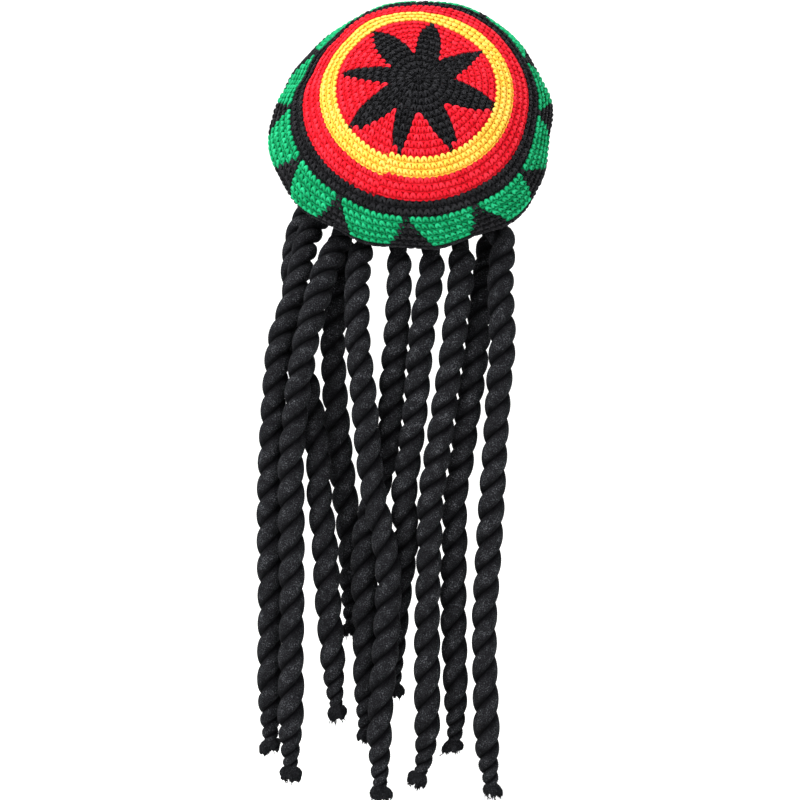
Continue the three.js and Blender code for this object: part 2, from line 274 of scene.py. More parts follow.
# Painted shade over the whole frill
FRILL_SHADE = 0.2
FRILL_STRAND = 0.2
FRAYING = 0.5
RIPPLE = 0.6
RIPPLE_LAG = 0.8
DEEPEST_RIPPLE = 2.8
THREADS = 14
THREAD_RADIUS = 0.45
THREAD_REACH = (1, 3)
THREAD_SPREAD = 1.2
THREAD_AWAY = 0.6
THREAD_BEND = 0.3
THREAD_POINTS = 5
THREAD_SIDES = 4

# The height of each point of a route below the crown
LEVELS = (-60, -90, -125, -160, -195, -230, -265, -300, -335, -370, -405, -440, -475, -510)

# Each lock's seat on the band, in degrees from its back, and its x and y at the levels. A bow
# is a point before the first level, and the last point is at the height of the end.
LOCKS = (
    {
        "seat": -93,
        "bow": (-104, -16, -24),
        "x": (-112, -110, -107, -100, -93, -88, -87, -83, -81, -79, -76, -74, -71),
        "y": (-45, -64, -82, -99, -106, -114, -117, -118, -118, -118, -118, -118, -118),
        "end": -469,
    },
    {
        "seat": -75,
        "bow": (-97, -47, -32),
        "x": (-104, -111, -122, -126, -129, -131, -132, -132, -132, -132, -133, -133, -133, -133),
        "y": (-72, -90, -104, -111, -112, -112, -112, -112, -112, -112, -112, -112, -112, -112),
        "end": -502,
    },
    {
        "seat": -49,
        "x": (-81, -90, -99, -105, -109, -112, -112, -112, -112, -112, -113, -113, -114, -114, -114),
        "y": (-94, -110, -122, -127) + (-128,) * 11,
        "end": -523,
    },
    {
        "seat": -62,
        "x": (-65, -71, -75, -74, -72, -69, -65, -61, -59, -59, -59),
        "y": (-60, -80, -90, -92, -92, -92, -90, -87, -86, -86, -86),
        "end": -400,
    },
    {
        "seat": -35,
        "x": (-52, -53, -52, -48, -45, -42, -37, -29, -25, -26, -28, -31, -33, -33, -32),
        "y": (-96, -112, -122, -126, -128, -129) + (-130,) * 9,
        "end": -541,
    },
    {
        "seat": -12,
        "x": (-15, -16, -18, -21, -23, -27, -37, -46, -47, -46, -46, -46, -46, -46),
        "y": (-102, -106, -106, -105, -105, -104, -104, -107, -108, -108, -108, -108, -108, -108),
        "end": -494,
    },
    {
        "seat": 9,
        "x": (14, 9, 4, 1, -2, -7, -11, -9, -13, -17, -20, -20, -20),
        "y": (-102, -110, -118, -119, -119, -119, -116, -112, -107, -105, -105, -105, -105),
        "end": -452,
    },
    {
        "seat": 29,
        "x": (41, 37, 33, 28, 23, 18, 13, 12, 11, 10, 10, 10, 10, 6, -1),
        "y": (-98, -110, -118, -122, -124, -125, -126, -127, -127, -126) + (-125,) * 5,
        "end": -529,
    },
    {
        "seat": 60,
        "x": (64, 59, 55, 50, 45, 41, 35, 35, 34, 34, 35, 36, 36, 34),
        "y": (-62, -82, -100, -108) + (-110,) * 10,
        "end": -503,
    },
    {
        "seat": 46,
        "bow": (78, -82, -34),
        "x": (76, 76, 77, 74, 72, 70, 68, 66, 64, 62, 62, 63, 64, 66, 71),
        "y": (-94, -108, -118) + (-121,) * 12,
        "end": -541,
    },
)


# Yarn colours in the hollows, on the sides and on the crests: painted shade darkens the hollows and
# painted light brightens the crests
YARNS = {
    "black_yarn": ((0.002, 0.002, 0.0025), (0.0075, 0.0075, 0.009), (0.024, 0.024, 0.027)),
    "red_yarn": ((0.54, 0.002, 0.006), (0.76, 0.008, 0.022), (0.92, 0.035, 0.06)),
    "yellow_yarn": ((0.9, 0.43, 0.02), (1.0, 0.61, 0.07), (1.0, 0.75, 0.17)),
    "green_yarn": ((0.0, 0.14, 0.05), (0.002, 0.31, 0.11), (0.02, 0.54, 0.23)),
}
# Fleece colours: the darkest is reached in the painted shade of the creases, the lightest are its
# pale flecks
FLEECE_COLOURS = ((0.004, 0.0042, 0.0048), (0.016, 0.0165, 0.0185), (0.11, 0.115, 0.125))
YARN_OF = {
    "star": "black_yarn",
    "red_field": "red_yarn",
    "yellow_round": "yellow_yarn",
    "red_round": "red_yarn",
    "black_round": "black_yarn",
    "green_round": "green_yarn",
    "underside": "black_yarn",
}

# The stage, in metres
FLOOR_DROP = 0.02
FLOOR_RADIUS = 2.6
SWEEP_RADIUS = 1.6
SWEEP_STEPS = 16
PAPER_TOP = 4.0
PAPER_SIDES = 96
PAPER_GLOW = 0.27
WORLD_STRENGTH = 0.42
TAM_MIDDLE = (0, -0.05, 0.02)

# Lights: name, place, size, power
LIGHTS = (
    ("key", (-1.4, -1.6, 2.3), 1.6, 70),
    ("top", (-1.3, -0.5, 2.6), 1.6, 44),
)


def add_object(name, data):
    made = bpy.data.objects.new(name, data)
    bpy.context.scene.collection.objects.link(made)
    return made


# The camera

def add_camera():
    data = bpy.data.cameras.new("camera")
    data.lens = CAMERA_LENS
    data.sensor_width = CAMERA_SENSOR
    data.clip_end = CAMERA_REACH
    camera = add_object("camera", data)
    rise = math.radians(CAMERA_ELEVATION)
    x, y, z = CAMERA_TARGET
    back = CAMERA_DISTANCE * math.cos(rise)
    camera.location = (x, y - back, z + CAMERA_DISTANCE * math.sin(rise))
    camera.rotation_euler = (math.pi / 2 - rise, 0, 0)
    bpy.context.scene.camera = camera


add_camera()


# The crown's surface, worked out for whole arrays of rounds and angles at once

def mix(a, b, share):
    return a + (b - a) * share


def smooth(value, low, high):
    share = np.clip((value - low) / (high - low), 0, 1)
    return share * share * (3 - 2 * share)


def axis_at(tilt):
    return np.array([0, -math.cos(math.radians(tilt)), math.sin(math.radians(tilt))])


def ring_table():
    axis = axis_at(CROWN_TILT)
    rings = []
    for round_, radius, drop, side, lean, fold in DOME:
        y = -CROWN_BACK - axis[1] * drop * CROWN_RADIUS
        z = CROWN_HEIGHT - axis[2] * drop * CROWN_RADIUS
        half = radius * CROWN_RADIUS
        rings.append((round_, side * CROWN_RADIUS, y, z, half, half, CROWN_TILT + lean, fold))
    last = rings[-1]
    top = axis_at(BAND_TILT) * (BAND_HEIGHT + BAND_LIFT)
    half_width = HEAD_HALF_WIDTH + FABRIC / 2
    half_length = HEAD_HALF_LENGTH + FABRIC / 2
    for round_, shift, narrow, shrink, turn, fold in TURN_UNDER:
        rings.append((
            round_,
            mix(last[1], top[0], shift),
            mix(last[2], top[1], shift),
            mix(last[3], top[2], shift),
            mix(last[4], half_width, narrow),
            mix(last[5], half_length, shrink),
            mix(last[6], BAND_TILT, turn),
            fold,
        ))
    return np.array(rings, float).T


RINGS = ring_table()
KNOTS = RINGS[0]
X, Y, Z, WIDE, LONG, TILT, FOLD = range(1, 8)


def column_of(row, rounds):
    values = RINGS[row]
    i = np.searchsorted(KNOTS[1:-1], rounds, side="left")
    before = np.maximum(np.arange(len(KNOTS)) - 1, 0)
    after = np.minimum(np.arange(len(KNOTS)) + 1, len(KNOTS) - 1)
    slopes = (values[after] - values[before]) / (KNOTS[after] - KNOTS[before])
    width = KNOTS[i + 1] - KNOTS[i]
    t = (rounds - KNOTS[i]) / width
    rise = values[i + 1] - values[i]
    a = slopes[i] * width - rise
    b = rise - slopes[i + 1] * width
    return values[i] + t * rise + t * (1 - t) * ((1 - t) * a + t * b)


def angle_of(columns, rounds):
    turns = np.array(NOTCHES)
    place = np.mod(columns - FIRST_NOTCH_COLUMN, COLUMNS) / (COLUMNS / PANELS)
    panel = np.floor(place).astype(int) % PANELS
    along = place - np.floor(place)
    turn = mix(turns[panel, 0], turns[(panel + 1) % PANELS, 0], along)
    lean = mix(turns[panel, 1], turns[(panel + 1) % PANELS, 1], along)
    started = smooth(rounds, ROUNDS["yellow"], ROUNDS["black"])
    leaning = smooth(rounds, ROUNDS["black"], ROUNDS["green"])
    degrees = FIRST_ANGLE + columns * COLUMN_ANGLE + turn * started + lean * leaning
    return np.radians(degrees)


def smooth_skin(rounds, angles):
    notch = math.radians(FIRST_ANGLE + FIRST_NOTCH_COLUMN * COLUMN_ANGLE - FOLD_TURN)
    meeting = (1 + np.cos(PANELS * (angles - notch))) / 2
    share = 1 - column_of(FOLD, rounds) * meeting
    tilt = np.radians(column_of(TILT, rounds))
    up = column_of(LONG, rounds) * share * np.sin(angles)
    x = column_of(X, rounds) + column_of(WIDE, rounds) * share * np.cos(angles)
    y = column_of(Y, rounds) + np.sin(tilt) * up
    z = column_of(Z, rounds) + np.cos(tilt) * up
    return np.stack([x, y, z], -1)


def outward_at(rounds, angles):
    probe = 0.05
    inner = np.maximum(rounds, 2 * probe) - probe
    along = smooth_skin(inner + 2 * probe, angles) - smooth_skin(inner, angles)
    across = smooth_skin(inner + probe, angles + probe) - smooth_skin(inner + probe, angles - probe)
    normal = np.cross(along, across)
    return normal / np.linalg.norm(normal, axis=-1, keepdims=True)


def dent_at(rounds, angles):
    total = np.zeros(np.shape(rounds))
    for round_, angle, round_span, angle_span, depth in DENTS:
        turn = angles - math.radians(angle)
        across = np.arctan2(np.sin(turn), np.cos(turn)) / math.radians(angle_span)
        along = (rounds - round_) / round_span
        total = total + depth * CROWN_RADIUS * np.exp(-across * across - along * along)
    return total


# Points of the crown, depth below its outer skin
def crown_points(rounds, columns, depths):
    rounds, columns, depths = np.broadcast_arrays(rounds, columns, depths)
    rounds = rounds.astype(float)
    angles = angle_of(columns, rounds)
    fade = np.minimum(1, (ROUNDS["under"] - rounds) / DENT_FADE)
    sink = depths + dent_at(rounds, angles) * fade
    return smooth_skin(rounds, angles) - outward_at(rounds, angles) * sink[..., None]


def band_points(heights, angles, depths):
    heights, angles, depths = np.broadcast_arrays(heights, angles, depths)
    axis = axis_at(BAND_TILT)
    tilt = math.radians(BAND_TILT)
    up = (HEAD_HALF_LENGTH + FABRIC - depths) * np.sin(angles)
    x = (HEAD_HALF_WIDTH + FABRIC - depths) * np.cos(angles)
    y = axis[1] * heights + math.sin(tilt) * up
    z = axis[2] * heights + math.cos(tilt) * up
    return np.stack([x, y, z], -1)


# Meshes

def add_mesh(name, points, faces, attributes=None, uvs=None):
    mesh = bpy.data.meshes.new(name)
    mesh.from_pydata((np.asarray(points) * MM).tolist(), [], faces)
    mesh.polygons.foreach_set("use_smooth", np.ones(len(mesh.polygons), bool))
    for key, values in (attributes or {}).items():
        layer = mesh.attributes.new(key, "FLOAT", "POINT")
        layer.data.foreach_set("value", np.asarray(values, np.float32))
    if uvs is not None:
        corners = np.empty(len(mesh.loops), np.int32)
        mesh.loops.foreach_get("vertex_index", corners)
        layer = mesh.uv_layers.new(name="strand")
        layer.data.foreach_set("uv", np.asarray(uvs, np.float32)[corners].ravel())
    mesh.update()
    return add_object(name, mesh)


TUBE_CAP = 0.6


# A closed round tube through points, with blunt cones for ends
def tube(points, radii, sides):
    points = np.asarray(points, float)
    tangents = np.gradient(points, axis=0)
    tangents /= np.linalg.norm(tangents, axis=1, keepdims=True)
    reference = np.array([0.0, 0.0, 1.0])
    across = np.cross(tangents, reference)
    across /= np.linalg.norm(across, axis=1, keepdims=True)
    above = np.cross(across, tangents)
    turn = np.arange(sides) * TAU / sides
    ring = (
        across[:, None, :] * np.cos(turn)[None, :, None]
        + above[:, None, :] * np.sin(turn)[None, :, None]
    )
    body = points[:, None, :] + ring * np.asarray(radii)[:, None, None]
    ends = [
        points[0] - tangents[0] * radii[0] * TUBE_CAP,
        points[-1] + tangents[-1] * radii[-1] * TUBE_CAP,
    ]
    vertices = np.concatenate([body.reshape(-1, 3), ends])
    count = len(points)
    faces = tube_faces(count, sides)
    length = np.concatenate([[0], np.cumsum(np.linalg.norm(np.diff(points, axis=0), axis=1))])
    u = np.repeat(length, sides)
    v = np.tile(np.arange(sides) / sides, count)
    uvs = np.concatenate([np.stack([u, v], -1), [[0, 0], [length[-1], 0]]])
    return vertices, faces, uvs


def tube_faces(count, sides):
    faces = []
    for i in range(count - 1):
        for k in range(sides):
            a = i * sides + k
            b = i * sides + (k + 1) % sides
            faces.append((a, b, b + sides, a + sides))
    first = count * sides
    for k in range(sides):
        right = (k + 1) % sides
        faces.append((first, right, k))
        faces.append((first + 1, (count - 1) * sides + k, (count - 1) * sides + right))
    return faces


# Faces of a sheet that closes both ways: rows of points, each of them a ring
def sheet_faces(rows, width):
    faces = []
    for i in range(rows):
        above = (i + 1) % rows
        for j in range(width):
            right = (j + 1) % width
            faces.append((i * width + j, i * width + right, above * width + right, above * width + j))
    return faces


def bezier(a, b, c, count):
    t = np.linspace(0, 1, count)[:, None]
    a, b, c = (np.array(p, float) for p in (a, b, c))
    return a * (1 - t) ** 2 + 2 * b * t * (1 - t) + c * t * t


def joined(parts):
    vertices = []
    faces = []
    uvs = []
    start = 0
    for part_vertices, part_faces, part_uvs in parts:
        vertices.append(part_vertices)
        faces += [tuple(start + i for i in face) for face in part_faces]
        uvs.append(part_uvs)
        start += len(part_vertices)
    return np.concatenate(vertices), faces, np.concatenate(uvs)


# One stitch, in millimetres across, down the round and up from the skin: a plump hoop of yarn
# whose feet dive under the next round, and the loop that joins it to its neighbour
HOOP = (
    (-2.45, 5.4, -1.7),
    (-2.4, 4.1, 0),
    (-2.0, 2.5, 1.4),
    (-1.15, 1, 2.0),
    (0, 0.3, 2.1),
    (1.15, 1, 2.0),
    (2.0, 2.5, 1.4),
    (2.4, 4.1, 0),
    (2.45, 5.4, -1.7),
)
HOOP_RADII = (0.9, 1.3, 1.5, 1.45, 1.3, 1.45, 1.5, 1.3, 0.9)
LOOP = ((-3.5, 6.6, 0.2), (0, 5.6, 0.9), (3.5, 6.4, 0.2))
LOOP_POINTS = 5
LOOP_SIDES = 5
LOOP_RADIUS = 1.0

# The heights between which a stitch's painted shade goes from darkest to lightest
LOWEST = -2.2
HIGHEST = 3.2


def stitch_shape(rings, sides, with_loop):
    knots = np.linspace(0, 1, len(HOOP))
    places = np.linspace(0, 1, rings)
    line = np.stack([np.interp(places, knots, values) for values in zip(*HOOP)], -1)
    radii = np.interp(places, knots, HOOP_RADII)
    parts = [tube(line, radii, sides)]
    if with_loop:
        line = bezier(*LOOP, LOOP_POINTS)
        parts.append(tube(line, np.full(len(line), LOOP_RADIUS), LOOP_SIDES))
    return joined(parts)


# Rounds are a spiral, so they step by a row at one seam
def jog_at(columns, rounds):
    share = np.mod(columns - JOG_COLUMN, COLUMNS) / COLUMNS
    step = np.exp(-(1 - share) / JOG_REACH) - np.exp(-share / JOG_REACH)
    started = np.clip(rounds / JOG_FADE_IN, 0, 1)
    ending = np.clip((ROUNDS["black"] - rounds) / JOG_FADE_OUT, 0, 1)
    return JOG_SIZE * step * (started * ending)


def star_edge_at(columns):
    edge = [round_ for arm in ARMS for round_ in arm]
    place = np.mod(columns - FIRST_ARM_COLUMN, COLUMNS)
    return np.interp(place, np.arange(COLUMNS + 1), edge + edge[:1])


def panel_edge_at(columns):
    place = np.mod(columns - FIRST_NOTCH_COLUMN, COLUMNS / PANELS)
    nearest = np.minimum(place, COLUMNS / PANELS - place)
    return mix(PANEL_NOTCH, ROUNDS["green"], np.clip(nearest, 0, 1))


# The chart: whether each place of a round belongs to the inner node of the two that share it
def inner_share(round_, columns):
    if round_ <= ROUNDS["field"]:
        return round_ - 0.5 < star_edge_at(columns)
    place = np.mod(columns - FIRST_NOTCH_COLUMN, COLUMNS / PANELS)
    nearest = np.minimum(place, COLUMNS / PANELS - place)
    return nearest > (round_ - ROUNDS["black"]) / PANEL_ROWS


def nodes_of(round_):
    if round_ <= ROUNDS["field"]:
        return "star", "red_field"
    if round_ <= ROUNDS["yellow"]:
        return "yellow_round", None
    if round_ <= ROUNDS["red"]:
        return "red_round", None
    if round_ <= ROUNDS["black"]:
        return "black_round", None
    if round_ <= ROUNDS["green"]:
        return "green_round", "underside"
    return "underside", None


# Stretches of one node along a round, in columns
def stretches(round_):
    inner, outer = nodes_of(round_)
    fine = np.arange(CHART_STEPS) * COLUMNS / CHART_STEPS
    inside = inner_share(round_, fine) if outer else np.full(CHART_STEPS, True)
    changes = np.flatnonzero(inside != np.roll(inside, 1))
    if len(changes) == 0:
        return [(inner if inside[0] else outer, 0.0, float(COLUMNS))]
    found = []
    for start, stop in zip(changes, np.roll(changes, -1)):
        width = (stop - start) % CHART_STEPS
        name = inner if inside[start] else outer
        found.append((name, fine[start], width * COLUMNS / CHART_STEPS))
    return found


def width_at(round_, start, width):
    columns = start + np.linspace(0, width, max(3, int(width * CHART_SAMPLES)))
    line = crown_points(settled(round_ - 0.5, columns), columns, 0)
    return np.linalg.norm(np.diff(line, axis=0), axis=1).sum()


# Middles and widths, in columns, of the stitches of each node in a round
def stitch_places(round_):
    places = {}
    stitch = CROWN_STITCH if round_ <= LAST_FINE_ROUND else UNDER_STITCH
    for name, start, width in stretches(round_):
        size = width_at(round_, start, width)
        if size < NARROWEST:
            continue
        count = max(1, round(size / stitch))
        per_stitch = width * max(1, NARROW_STITCH / size) / count
        middles = start + width / 2 + (np.arange(count) - (count - 1) / 2) * per_stitch
        places.setdefault(name, []).append((middles, np.full(count, per_stitch)))
    return {name: np.concatenate(parts, axis=1) for name, parts in places.items()}


FINE = stitch_shape(rings=11, sides=7, with_loop=True)
PLAIN = stitch_shape(rings=7, sides=5, with_loop=False)


# Where rounds of the chart lie: the green edge ends just under the rim, lowest at the sides
def settled(rounds, columns):
    laid = np.interp(rounds, CHART_ROUNDS, LAID_ROUNDS)
    share = np.interp(rounds, CHART_ROUNDS, SAG_SHARES)
    for column, span, sag in SAGS:
        away = np.mod(columns - column + COLUMNS / 2, COLUMNS) - COLUMNS / 2
        laid = laid + sag * share * np.exp(-((away / span) ** 2))
    return laid


# Every stitch of every round, laid on the skin and sorted by node
def crochet():
    made = {}
    for round_ in range(1, ROUNDS["under"] + 1):
        shape = FINE if round_ <= LAST_FINE_ROUND else PLAIN
        for name, (middles, widths) in stitch_places(round_).items():
            block = stitch_block(round_, middles, widths[:, None], shape)
            made.setdefault(name, []).append(block)
    return made


def stitch_block(round_, centres, per_stitch, shape):
    vertices, faces, uvs = shape
    count = len(centres)
    across, down, height = vertices.T
    lean = rng.normal(STITCH_LEAN, LEAN_SPREAD, (count, 1))
    size = rng.normal(1, SIZE_SPREAD, (count, 1))
    shift = rng.normal(0, PLACE_SPREAD, (count, 3))
    sideways = (across * size + lean * (down - ROW_HEIGHT / 2) + shift[:, :1]) / DRAWN_STITCH
    downwards = (down + shift[:, 1:2]) / ROW_HEIGHT
    columns = centres[:, None] + sideways * per_stitch
    rounds = round_ - 1 + downwards + jog_at(centres, round_)[:, None]
    rounds = settled(np.clip(rounds, CHART_MARGIN, ROUNDS["under"] - CHART_MARGIN), columns)
    depths = STITCH_DEPTH - height * size + shift[:, 2:] * DEPTH_SHARE
    points = crown_points(rounds, columns, depths).reshape(-1, 3)
    base = len(vertices)
    starts = np.arange(count) * base
    # Painted shade: the lower a point of the stitch, the darker its colour; its crest gets painted
    # light
    lit = (height - LOWEST) / (HIGHEST - LOWEST)
    chance = rng.uniform(0, 1, (count, 1))
    strand = rng.uniform(0, STRAND_START, (count, 1))
    return {
        "points": points,
        "faces": [tuple(int(start + i) for i in face) for start in starts for face in faces],
        "tones_and_shades": (TONE_BY_CHANCE * chance + SHADE_BY_HEIGHT * np.tile(lit, (count, 1))).ravel(),
        "uvs": np.tile(uvs, (count, 1)) + np.repeat(strand, base, axis=0),
    }


# The wall between two edges, its outer skin first
def wall_block(inner_edge, outer_edge):
    columns = np.arange(WALL_COLUMNS) * COLUMNS / WALL_COLUMNS
    start = inner_edge(columns)
    stop = outer_edge(columns)
    rows = max(2, int(round(WALL_ROWS * float(np.max(stop - start)))))
    loops = []
    for i in range(rows + 1):
        rounds = mix(start, stop, i / rows)
        loops.append(crown_points(settled(rounds, columns), columns, WALL_OUT))
    for i in range(rows, -1, -1):
        rounds = mix(start, stop, i / rows)
        ridge = RIDGE * np.cos(TAU * rounds) + RIDGE / 2 * np.cos(TAU * 2 * columns)
        loops.append(crown_points(settled(rounds, columns), columns, WALL_IN + ridge))
    total = len(loops)
    around, along = WALL_STRAND
    place = np.tile(columns * around, total)
    drop = np.repeat(np.arange(total) * along, WALL_COLUMNS)
    return {
        "points": np.concatenate(loops),
        "faces": [(a, d, c, b) for a, b, c, d in sheet_faces(total, WALL_COLUMNS)],
        "tones_and_shades": np.repeat(WALL_SHADE_TONES, (rows + 1) * WALL_COLUMNS),
        "uvs": np.stack([place, drop], -1),
    }


def combine(name, blocks):
    points = []
    faces = []
    tones_and_shades = []
    uvs = []
    start = 0
    for block in blocks:
        points.append(block["points"])
        faces += [tuple(start + i for i in face) for face in block["faces"]]
        tones_and_shades.append(block["tones_and_shades"])
        uvs.append(block["uvs"])
        start += len(block["points"])
    attributes = {"tone_and_shade": np.concatenate(tones_and_shades)}
    return add_mesh(name, np.concatenate(points), faces, attributes, np.concatenate(uvs))


def level(round_):
    return lambda columns: np.full(np.shape(columns), float(round_))


WALLS = {
    "star": (level(WALL_START), star_edge_at),
    "red_field": (star_edge_at, level(ROUNDS["field"])),
    "yellow_round": (level(ROUNDS["field"]), level(ROUNDS["yellow"])),
    "red_round": (level(ROUNDS["yellow"]), level(ROUNDS["red"])),
    "black_round": (level(ROUNDS["red"]), level(ROUNDS["black"])),
    "green_round": (level(ROUNDS["black"]), panel_edge_at),
    "underside": (panel_edge_at, level(ROUNDS["under"])),
}


# Materials

def new_material(name):
    material = bpy.data.materials.new(name)
    material.use_nodes = True
    nodes = material.node_tree.nodes
    return material, nodes, material.node_tree.links, nodes["Principled BSDF"]


def set_sockets(node, values):
    for key, value in values.items():
        node.inputs[key].default_value = value


def add_node(nodes, kind, sockets, **settings):
    node = nodes.new(kind)
    for key, value in settings.items():
        setattr(node, key, value)
    set_sockets(node, sockets)
    return node


def ramp_between(nodes, stops):
    ramp = nodes.new("ShaderNodeValToRGB")
    elements = ramp.color_ramp.elements
    for i, (place, colour) in enumerate(stops):
        element = elements[i] if i < 2 else elements.new(place)
        element.position = place
        element.color = (*colour, 1)
    return ramp


# Thick acrylic yarn: two plies that twist along the strand, fine fibres, a soft sheen, and colour
# that runs from painted shade in the hollows to painted light on the crests
def yarn_material(name, dark, middle, light):
    material, nodes, links, shader = new_material(name)
    uv = add_node(nodes, "ShaderNodeUVMap", {}, uv_map="strand")
    plies = add_node(nodes, "ShaderNodeMapping", {"Scale": (0.55, 2, 1)})
    twist = add_node(nodes, "ShaderNodeTexWave", {"Scale": 0.5, "Distortion": 0.6},
                     wave_type="BANDS", bands_direction="DIAGONAL")
    links.new(uv.outputs["UV"], plies.inputs["Vector"])
    links.new(plies.outputs["Vector"], twist.inputs["Vector"])

    stretch = add_node(nodes, "ShaderNodeMapping", {"Scale": (0.5, 14, 1)})
    fibres = add_node(nodes, "ShaderNodeTexNoise", {"Scale": 2.2, "Detail": 4})
    links.new(uv.outputs["UV"], stretch.inputs["Vector"])
    links.new(stretch.outputs["Vector"], fibres.inputs["Vector"])

    # The attribute mixes random difference with painted shade: dark in the hollows and in the wall's
    # gaps, light on the crests
    tone_and_shade = add_node(nodes, "ShaderNodeAttribute", {}, attribute_name="tone_and_shade")
    halved = add_node(nodes, "ShaderNodeMath", {1: 0.5}, operation="MULTIPLY")
    blend = add_node(nodes, "ShaderNodeMath", {1: 0.6}, operation="MULTIPLY_ADD")
    ramp = ramp_between(nodes, [(0.3, dark), (0.9, light), (0.6, middle)])
    links.new(fibres.outputs["Fac"], halved.inputs[0])
    links.new(tone_and_shade.outputs["Fac"], blend.inputs[0])
    links.new(halved.outputs["Value"], blend.inputs[2])
    links.new(blend.outputs["Value"], ramp.inputs["Fac"])
    links.new(ramp.outputs["Color"], shader.inputs["Base Color"])

    height = add_node(nodes, "ShaderNodeMath", {1: 0.6}, operation="MULTIPLY_ADD")
    bump = add_node(nodes, "ShaderNodeBump", {"Strength": 0.55, "Distance": 0.0006})
    links.new(twist.outputs["Fac"], height.inputs[0])
    links.new(fibres.outputs["Fac"], height.inputs[2])
    links.new(height.outputs["Value"], bump.inputs["Height"])
    links.new(bump.outputs["Normal"], shader.inputs["Normal"])
    set_sockets(shader, {
        "Roughness": 0.85,
        "Specular IOR Level": 0.1,
        "Sheen Weight": 0.03,
        "Sheen Roughness": 0.5,
    })
    return material


# Stuffed fleece tube: charcoal, with fine light flecks and a pilled nap, and painted shade that
# darkens it in its creases
def fleece_material(name, dark, middle, light):
    material, nodes, links, shader = new_material(name)
    place = add_node(nodes, "ShaderNodeTexCoord", {})
    flecks = add_node(nodes, "ShaderNodeTexNoise", {"Scale": 900, "Detail": 3, "Roughness": 0.65})
    cloud = add_node(nodes, "ShaderNodeTexNoise", {"Scale": 120, "Detail": 3})
    mixed = add_node(nodes, "ShaderNodeMath", {1: 0.35}, operation="MULTIPLY_ADD")
    links.new(place.outputs["Object"], flecks.inputs["Vector"])
    links.new(place.outputs["Object"], cloud.inputs["Vector"])
    links.new(cloud.outputs["Fac"], mixed.inputs[0])
    links.new(flecks.outputs["Fac"], mixed.inputs[2])

    # Painted shade: the crease attribute darkens the colour between the strands, and a little on the
    # frill
    crease = add_node(nodes, "ShaderNodeAttribute", {}, attribute_name="crease")
    shaded = add_node(nodes, "ShaderNodeMath", {1: -0.42}, operation="MULTIPLY_ADD")
    ramp = ramp_between(nodes, [(0.5, dark), (0.95, light), (0.74, middle)])
    links.new(crease.outputs["Fac"], shaded.inputs[0])
    links.new(mixed.outputs["Value"], shaded.inputs[2])
    links.new(shaded.outputs["Value"], ramp.inputs["Fac"])
    links.new(ramp.outputs["Color"], shader.inputs["Base Color"])

    bump = add_node(nodes, "ShaderNodeBump", {"Strength": 0.7, "Distance": 0.0007})
    links.new(flecks.outputs["Fac"], bump.inputs["Height"])
    links.new(bump.outputs["Normal"], shader.inputs["Normal"])
    set_sockets(shader, {"Roughness": 0.95, "Specular IOR Level": 0.04})
    return material


# The material of each slot
MATERIALS = {slot: yarn_material(slot, *colours) for slot, colours in YARNS.items()}
MATERIALS["lock_yarn"] = fleece_material("charcoal_fleece", *FLEECE_COLOURS)


def dress(piece, slot, node):
    piece.data.materials.append(MATERIALS[slot])
    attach(piece, "root")
    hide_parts(node)


# The locks, which come first because they are cords

def route_points(lock):
    heights = list(LEVELS[:len(lock["x"]) - 1]) + [lock["end"]]
    points = [(x, y, z) for x, y, z in zip(lock["x"], lock["y"], heights)]
    if "bow" in lock:
        points.insert(0, lock["bow"])
    seat = band_points(-SEAM, math.radians(lock["seat"] - 90), FABRIC / 2)
    return np.array([seat] + points, float)


# A centripetal spline through the points, as the solids' route is
def spline(points, per_span=24):
    before = 2 * points[0] - points[1]
    after = 2 * points[-1] - points[-2]
    padded = np.concatenate([[before], points, [after]])
    line = []
    for i in range(1, len(padded) - 2):
        a, b, c, d = padded[i - 1:i + 3]
        first, middle, last = (np.linalg.norm(q - p) ** 0.5 for p, q in ((a, b), (b, c), (c, d)))
        start = (b - a) / first - (c - a) / (first + middle) + (c - b) / middle
        stop = (c - b) / middle - (d - b) / (middle + last) + (d - c) / last
        start = start * middle
        stop = stop * middle
        t = np.linspace(0, 1, per_span, endpoint=False)[:, None]
        bend = (2 * b - 2 * c + start + stop) * t ** 3
        line.append(b + start * t + (3 * c - 3 * b - 2 * start - stop) * t * t + bend)
    line.append(padded[-2:-1])
    return np.concatenate(line)


def along_line(line, count):
    steps = np.linalg.norm(np.diff(line, axis=0), axis=1)
    distance = np.concatenate([[0], np.cumsum(steps)])
    places = np.linspace(0, distance[-1], count)
    points = np.stack([np.interp(places, distance, line[:, k]) for k in range(3)], -1)
    return points, places, distance[-1]


def twist_at(distance, length):
    slowing = (END_TWIST - TOP_TWIST) / length
    return TAU * np.log(1 + slowing * distance / TOP_TWIST) / slowing


def unit(vectors):
    return vectors / np.linalg.norm(vectors, axis=-1, keepdims=True)


# A row of frames along a lock's line, from its sewn seat to its tip
def lock_frames(lock):
    line, _, length = along_line(spline(route_points(lock)), ROUTE_STEPS)
    centre, distance, length = along_line(line, int(length / LOCK_GRAIN))
    tangent = unit(np.gradient(centre, axis=0))
    seat_angle = math.radians(lock["seat"] - 90)
    probe = 0.01
    along = unit(band_points(0, seat_angle + probe, 0) - band_points(0, seat_angle - probe, 0))
    filled = smooth(distance, 0, LOCK_TAB_LENGTH)[:, None]
    facing = unit(mix(-axis_at(BAND_TILT)[None, :], tangent, filled))
    across = unit(along - facing * (facing @ along)[:, None])
    return centre, distance, length, facing, across, np.cross(facing, across), filled


